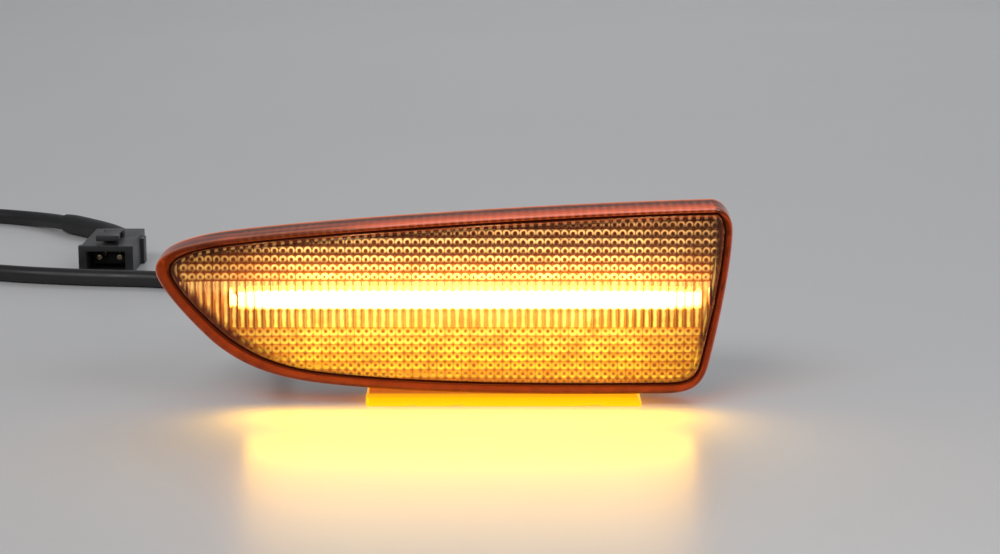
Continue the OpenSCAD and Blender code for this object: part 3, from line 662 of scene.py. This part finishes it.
def lensRings():
    # from the middle of the face out over the groove and the rim, back along the skirt, and in again
    front, back, inner = place["front"], place["back"], place["inner"]
    start, half, wall = lens["faceStart"], lens["grooveHalf"], lens["wall"]
    rings = []

    def put(y, inset, share=0):
        rings.append(ringAt(outline(insetNodes(lensNodes, inset, share)), y))

    face = outline(insetNodes(lensNodes, start, 1))
    for t in (0.95, 0.8, 0.6, 0.4, 0.25, 0.12, 0.0):
        rings.append(ringAt([towardSpine(p, t) for p in face], front - place["crown"] * (1 - (1 - t) ** 2)))
    for halves, share in ((0.35, 0.7), (1, 1), (1.65, 0.7), (2, 0)):
        put(front + share * lens["grooveDepth"], start - halves * half, 1)
    for turn in range(90, -1, -10):
        a = math.radians(turn)
        put(front + lens["roundDepth"] * (1 - math.sin(a)), lens["draft"] * math.cos(a), 1 - math.cos(a))
    for y, inset in ((back + 0.15, 0.02), (back, 0.15), (back, wall), (inner + 1.1, wall),
                     (inner + 0.7, wall + 0.15), (inner + 0.4, wall + 0.4)):
        put(y, inset)
    put(inner, wall * 0.4 + 0.2, 1)
    return rings


def pillowRows():
    # height, place in the cell, and whether the row is one of the flutes
    steps, pitch, slack = optics["cellSteps"], optics["rowPitch"], lens["slack"]
    low, high, count = optics["fluteLow"], optics["fluteHigh"], optics["rows"]
    rows = []
    for r in range(count):
        for i in range(steps):
            rows.append((low - (count - r - i / steps) * pitch, 2 * i / steps - 1, False))
    rows.append((low - slack, 1.0, False))
    for i in range(9):
        rows.append((low + slack + (high - low - 2 * slack) * i / 8, 0.0, True))
    for r in range(count):
        for i in range(steps):
            lift = slack if r + i == 0 else 0
            rows.append((high + (r + i / steps) * pitch + lift, 2 * i / steps - 1, False))
    rows.append((high + count * pitch, 1.0, False))
    return rows


def pillowSlab():
    # closed slab with a domed cell for each pillow and tall flutes across the middle
    steps = optics["cellSteps"]
    columns = []
    for c in range(optics["columns"]):
        for i in range(steps):
            columns.append((optics["left"] + (c + i / steps) * optics["pitch"], 2 * i / steps - 1))
    columns.append((optics["left"] + optics["columns"] * optics["pitch"], -1.0))
    rows = pillowRows()
    valley, root, rise = place["inner"] + 0.05, place["inner"] - 0.5, optics["rise"]
    verts = []
    for z, v, flute in rows:
        for x, u in columns:
            dome = 1 - u * u if flute else 1 - (u * u + v * v) / 2
            verts.append(localToWorld(x, valley + rise * dome, z))
    nx, nz = len(columns), len(rows)
    faces = [[r * nx + c, r * nx + c + 1, (r + 1) * nx + c + 1, (r + 1) * nx + c]
             for r in range(nz - 1) for c in range(nx - 1)]
    border = [c for c in range(nx)] + [r * nx + nx - 1 for r in range(1, nz)]
    border += [(nz - 1) * nx + c for c in range(nx - 2, -1, -1)] + [r * nx for r in range(nz - 2, 0, -1)]
    base, count = len(verts), len(border)
    for i in border:
        v = verts[i].copy()
        v.y = (root + place["shiftY"]) * mm
        verts.append(v)
    for k in range(count):
        n = (k + 1) % count
        faces.append([border[n], border[k], base + k, base + n])
    faces.append([base + k for k in range(count)])
    obj = newObject("pillowSlab", verts, faces)
    fixNormals(obj)
    return obj


foot = {
    "left": -15.0, "right": 37.0, "near": place["front"] + 0.8, "far": -0.3, "height": 1.9, "edge": 0.25,
    "slant": 0.9, "gaps": ((-7.8, -5.2), (-0.4, 3.6), (24.8, 30.4)), "gapHigh": 0.45,
    "neckEnds": (-14.4, 36.6), "neckDeep": (-9.2, -2.2), "neckHigh": (1.2, 3.0),
}


def blockRing(x, deep, high):
    return [localToWorld(x, y, z) for y, z in
            ((deep[0], high[0]), (deep[1], high[0]), (deep[1], high[1]), (deep[0], high[1]))]


def footBlock():
    # the clear strip under the lens, with softened ends, a slanted right end and three small gaps under it
    near, far, height, edge = foot["near"], foot["far"], foot["height"], foot["edge"]
    profile = [(near, edge), (near + edge, 0.0), (far - edge, 0.0), (far, edge), (far, height - 0.2),
               (far - 0.2, height), (near + 0.2, height), (near, height - 0.2)]
    left, right = foot["left"], foot["right"]
    rings = []
    for x, pinch in ((left, edge), (left + edge, 0.0), (right - edge, 0.0), (right, edge)):
        ring = []
        for y, z in profile:
            slant = foot["slant"] * (1 - z / height) if x > 0 else 0
            ring.append(localToWorld(x + slant, min(max(y, near + pinch), far - pinch),
                                     min(max(z, pinch), height - pinch * 0.3)))
        rings.append(ring)
    obj = loftObject("footBlock", rings)
    for start, end in foot["gaps"]:
        ends = []
        for x, high in ((start, 0.06), (end - 0.5, foot["gapHigh"]), (end, 0.3)):
            ends.append(blockRing(x, (near - 1, near + 1.4), (-1.0, high)))
        boolean(obj, loftObject("footGap", ends), "DIFFERENCE")
    return obj


def makeLens():
    obj = loftObject("lensGlass", lensRings())
    slab = pillowSlab()
    field = outline(insetNodes(lensNodes, lens["faceStart"] + 0.1, 1), 20)
    keep = loftObject("fieldPrism", [ringAt(field, place["inner"] - 1), ringAt(field, place["inner"] + 2)])
    boolean(slab, keep, "INTERSECT")
    boolean(obj, slab, "UNION")
    neckRings = [blockRing(x, foot["neckDeep"], foot["neckHigh"]) for x in foot["neckEnds"]]
    boolean(obj, loftObject("footNeck", neckRings), "UNION")
    boolean(obj, footBlock(), "UNION")
    return obj


def insideOutline(x, z, points):
    inside = np.zeros(len(x), dtype=bool)
    for i, a in enumerate(points):
        b = points[(i + 1) % len(points)]
        if a[1] != b[1]:
            crosses = (a[1] > z) != (b[1] > z)
            inside ^= crosses & (x < (b[0] - a[0]) * (z - a[1]) / (b[1] - a[1]) + a[0])
    return inside


def distanceToLine(x, z, points):
    best = np.full(len(x), 1e9, dtype=np.float32)
    for i, a in enumerate(points):
        b = points[(i + 1) % len(points)]
        dx, dz = b[0] - a[0], b[1] - a[1]
        share = np.clip(((x - a[0]) * dx + (z - a[1]) * dz) / max(dx * dx + dz * dz, 1e-9), 0, 1)
        best = np.minimum(best, np.hypot(x - a[0] - share * dx, z - a[1] - share * dz))
    return best


marks = {"marginWidth": 1.45, "marginFade": 0.4, "tickPlace": 0.75, "tickHalf": 0.35, "grooveSpan": 1.9}


def markLens(obj):
    # masks: the rim is all outside the optic field, the groove is the fine line round that field, painted
    # dark, the wall is the inside of the skirt, painted darker, and the margin, a band of painted shade, and
    # the ticks, painted light, follow the border of the field
    mesh = obj.data
    co = np.empty(len(mesh.vertices) * 3, dtype=np.float32)
    mesh.vertices.foreach_get("co", co)
    co = co.reshape(-1, 3) / mm
    x, z, y = co[:, 0], co[:, 2] - place["foot"], co[:, 1] - place["shiftY"]

    def inset(distance, share=0):
        return outline(insetNodes(lensNodes, distance, share), 16)

    field = insideOutline(x, z, inset(lens["faceStart"] - 0.05, 1))
    around = insideOutline(x, z, inset(lens["faceStart"] - marks["grooveSpan"] * lens["grooveHalf"], 1))
    grooved = around & ~field & (y < place["front"] + 0.6)
    opening = insideOutline(x, z, inset(lens["wall"] + 0.5))
    inner = insideOutline(x, z, inset(lens["wall"] - 0.4))
    walled = ~opening & inner & (y > place["inner"] + 0.3) & (y < place["back"] - 0.3)
    fromEdge = distanceToLine(x, z, inset(lens["faceStart"], 1))
    margin = np.clip((marks["marginWidth"] - fromEdge) / marks["marginFade"], 0, 1) * field
    tick = np.clip(1 - np.abs(fromEdge - marks["tickPlace"]) / marks["tickHalf"], 0, 1) * field
    masks = {"rim": ~field, "groove": grooved, "wall": walled, "margin": margin, "tick": tick}
    for name, values in masks.items():
        layer = mesh.attributes.new(name, "FLOAT", "POINT")
        layer.data.foreach_set("value", values.astype(np.float32))


lensObj = makeLens()
markLens(lensObj)
finishPiece(lensObj, "lens", looks["lens"], 22)
print("lens made", len(lensObj.data.polygons))

bar = {
    "front": -8.4, "back": -5.0, "tips": ((0.0, 0.9), (0.3, 0.35), (1.0, 0.0)),
    "bladeEnds": (-37.0, 44.6), "bladeDeep": (-5.6, -1.6), "bladeHigh": (-1.05, 1.05),
}


def makeBar():
    # the glowing strip with rounded ends, and the blade that carries the light to it
    z0 = light["barZ"]
    stations = [(light["barLeft"] + step, shrink) for step, shrink in bar["tips"]]
    stations += [(light["barRight"] - step, shrink) for step, shrink in reversed(bar["tips"])]
    sections = []
    for x, shrink in stations:
        h = light["barHalf"] - shrink
        front, back = bar["front"] + shrink * 0.6, bar["back"]
        profile = [(front, -h + 0.5), (front + 0.15, -h + 0.15), (front + 0.5, -h), (back, -h), (back, h),
                   (front + 0.5, h), (front + 0.15, h - 0.15), (front, h - 0.5)]
        sections.append([localToWorld(x, y, z0 + z) for y, z in profile])
    obj = loftObject("barGlow", sections)
    high = [z0 + z for z in bar["bladeHigh"]]
    blade = loftObject("barBlade", [blockRing(x, bar["bladeDeep"], high) for x in bar["bladeEnds"]])
    boolean(obj, blade, "UNION")
    return obj


finishPiece(makeBar(), "light_bar", looks["bar"], 40)

softCopy("reflector", 0.15, looks["reflector"])
softCopy("circuit_board", 0.0, looks["board"])
softCopy("lens_seal", 0.0, looks["seal"])
for name in sorted(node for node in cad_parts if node.startswith("led_")):
    softCopy(name, 0.08, looks["led"], 1)
for name in ("driver_chip", "diode", "resistor_1", "resistor_2", "resistor_3", "resistor_4"):
    softCopy(name, 0.08, looks["chip"], 1)
softCopy("capacitor", 0.15, looks["can"])
softCopy("board_screws", 0.1, looks["screw"])
softCopy("wire_live", 0.0, looks["red"])
softCopy("wire_return", 0.0, looks["black"])
print("inside made")

softCopy("rear_housing", 0.3, looks["housing"], 2, 40)
softCopy("mounting_gasket", 0.25, looks["foam"], 2, 40)
softCopy("spring_clip", 0.12, looks["spring"], 2, 50)
softCopy("clip_screw", 0.12, looks["screw"])
softCopy("breather_cap", 0.25, looks["cap"])
softCopy("cable_grommet", 0.12, looks["rubber"])
print("outside made")


# the sleeve covers the path's points from sleeveFrom to sleeveTo; shy keeps a surface inside its solid
leadShape = {
    "diameter": 4.0, "sleeve": 5.2, "sides": 20, "steps": 6, "length": 0.3418,
    "sleeveFrom": 126, "sleeveTo": 145, "shy": 0.03, "sleeveRound": 0.15, "sleeveInside": 0.2,
}
leadPoints = [
    (-34, 6.8, 20.55), (-34, 11, 20.55), (-34, 19, 20.55), (-34.4, 27, 18.85), (-35, 35, 14.25),
    (-35.8, 43, 8.3), (-36.9, 51, 3.7), (-38.6, 59, 2), (-41.4, 69, 2), (-46, 80, 2), (-56, 91, 2),
    (-71, 97, 2), (-89, 99.5, 2), (-108, 104, 2), (-127, 112, 2), (-143, 124, 2), (-154, 140, 2),
    (-157, 158, 2), (-149, 174, 2), (-134, 181, 2), (-118, 176.5, 2), (-105, 166, 2.6), (-93, 154, 2.6),
    (-87.2, 144.6, 2.9), (-85.2, 138, 3.4), (-85, 132, 3.8), (-85, 127, 3.8),
]


def smoothLine(points, steps):
    out = []
    last = len(points) - 1
    for i in range(last):
        a, b = Vector(points[max(i - 1, 0)]), Vector(points[i])
        c, d = Vector(points[i + 1]), Vector(points[min(i + 2, last)])
        for k in range(steps):
            t = k / steps
            square, cube = 2 * a - 5 * b + 4 * c - d, 3 * b - a - 3 * c + d
            out.append(0.5 * (2 * b + (c - a) * t + square * t * t + cube * t ** 3))
    out.append(Vector(points[-1]))
    return [localToWorld(*p) for p in out]


def tubeRings(path, radii, sides):
    rings = []
    for i, p in enumerate(path):
        v = (path[min(i + 1, len(path) - 1)] - path[max(i - 1, 0)]).normalized()
        s = Vector((0, 0, 1)).cross(v).normalized()
        u = v.cross(s)
        turns = [math.tau * k / sides for k in range(sides)]
        rings.append([p + radii[i] * mm * (math.cos(a) * s + math.sin(a) * u) for a in turns])
    return rings


def makeLead(path):
    radius = leadShape["diameter"] / 2 - leadShape["shy"]
    obj = loftObject("leadTube", tubeRings(path, [radius] * len(path), leadShape["sides"]))
    finishPiece(obj, "lead", looks["sheath"], 40)
    return obj


def makeSleeve(path):
    outer = leadShape["sleeve"] / 2 - leadShape["shy"]
    outerRadii = [outer] * len(path)
    outerRadii[0] = outerRadii[-1] = outer - leadShape["sleeveRound"]
    innerRadii = [leadShape["diameter"] / 2 + leadShape["sleeveInside"]] * len(path)
    outerRings = tubeRings(path, outerRadii, leadShape["sides"])
    innerRings = tubeRings(path, innerRadii, leadShape["sides"])
    obj = loftObject("lead_sleeveSoft", outerRings + innerRings[::-1], True)
    finishPiece(obj, "lead_sleeve", looks["sleeve"], 40)
    return obj


leadPath = smoothLine(leadPoints, leadShape["steps"])
leadObj = makeLead(leadPath)
softCopy("connector_body", 0.25, looks["connector"])
softCopy("connector_lock", 0.15, looks["lock"])
softCopy("connector_seal", 0.15, looks["silicone"])
softCopy("terminal_1", 0.1, looks["brass"])
softCopy("terminal_2", 0.1, looks["brass"])
sleeveObj = makeSleeve(leadPath[leadShape["sleeveFrom"]:leadShape["sleeveTo"]])
print("lead made")


# in metres, but for the camera's target and distance, which are in millimetres
stageSetup = {
    "floorSize": 3.0, "floorFront": -1.2, "floorBack": 0.9, "bendRadius": 0.5, "bendSteps": 12,
    "backTop": 2.2, "floorRough": 0.32,
    "target": (10.7, -14.35, 25.6), "distance": 430.0, "elevation": 12.0, "lens": 81.9,
    "sky": (0.85, 0.87, 0.9), "skyStrength": 0.25,
}
# place, aim, width and height, power, colour; the last is the lamp's own light on the floor before it
stageLights = {
    "keySoft": ((-0.5, -0.7, 0.9), (0, 0, 0.02), (0.7, 0.5), 4.4, (1, 0.98, 0.95)),
    "fillSoft": ((0.8, -0.5, 0.6), (0, 0, 0.02), (0.6, 0.6), 1.9, (0.94, 0.97, 1)),
    "rearSoft": ((0.2, 0.9, 0.8), (0, 0.05, 0.02), (0.8, 0.5), 2.6, (1, 1, 1)),
    "spill": ((0.005, -0.0185, 0.009), (0.005, -0.05, -0.02), (0.085, 0.006), 0.02, (1, 0.52, 0.015)),
}


def makeFloor():
    # flat, then bent up behind the lamp in a quarter round
    size, back = stageSetup["floorSize"], stageSetup["floorBack"]
    radius, steps = stageSetup["bendRadius"], stageSetup["bendSteps"]
    profile = [(stageSetup["floorFront"], 0.0), (back, 0.0)]
    for k in range(1, steps + 1):
        a = math.radians(90 * k / steps)
        profile.append((back + radius * math.sin(a), radius * (1 - math.cos(a))))
    profile.append((back + radius, stageSetup["backTop"]))
    verts, faces = [], []
    for y, z in profile:
        verts += [(-size, y, z), (size, y, z)]
    for i in range(len(profile) - 1):
        faces.append([2 * i, 2 * i + 1, 2 * i + 3, 2 * i + 2])
    obj = newObject("floor", verts, faces)
    shadeSoft(obj, 60)
    material, tree, shader = newMaterial("floorPale")
    color = ramp(tree, noiseValue(tree, 3.0, 3), [(0.3, (0.72, 0.72, 0.73)), (0.7, (0.75, 0.75, 0.76))])
    tree.links.new(color, shader.inputs["Base Color"])
    shader.inputs["Roughness"].default_value = stageSetup["floorRough"]
    setMaterial(obj, material)


def areaLight(name, location, target, size, energy, color):
    data = bpy.data.lights.new(name, "AREA")
    data.shape = "RECTANGLE"
    data.size, data.size_y = size
    data.energy = energy
    data.color = color
    obj = bpy.data.objects.new(name, data)
    bpy.context.scene.collection.objects.link(obj)
    obj.location = location
    obj.rotation_euler = (Vector(target) - Vector(location)).to_track_quat("-Z", "Y").to_euler()
    obj.visible_camera = False


def makeCamera():
    data = bpy.data.cameras.new("camera")
    data.lens = stageSetup["lens"]
    data.clip_start = 0.01
    obj = bpy.data.objects.new("camera", data)
    bpy.context.scene.collection.objects.link(obj)
    target = Vector(stageSetup["target"]) * mm
    tilt = math.radians(stageSetup["elevation"])
    obj.location = target + stageSetup["distance"] * mm * Vector((0, -math.cos(tilt), math.sin(tilt)))
    obj.rotation_euler = (target - obj.location).to_track_quat("-Z", "Y").to_euler()
    return obj


makeFloor()
for name, values in stageLights.items():
    areaLight(name, *values)
world = bpy.data.worlds.new("world")
world.use_nodes = True
world.node_tree.nodes["Background"].inputs["Color"].default_value = (*stageSetup["sky"], 1)
world.node_tree.nodes["Background"].inputs["Strength"].default_value = stageSetup["skyStrength"]
bpy.context.scene.world = world
bpy.context.scene.camera = makeCamera()
bpy.context.scene.view_settings.view_transform = "Standard"
print("stage made")
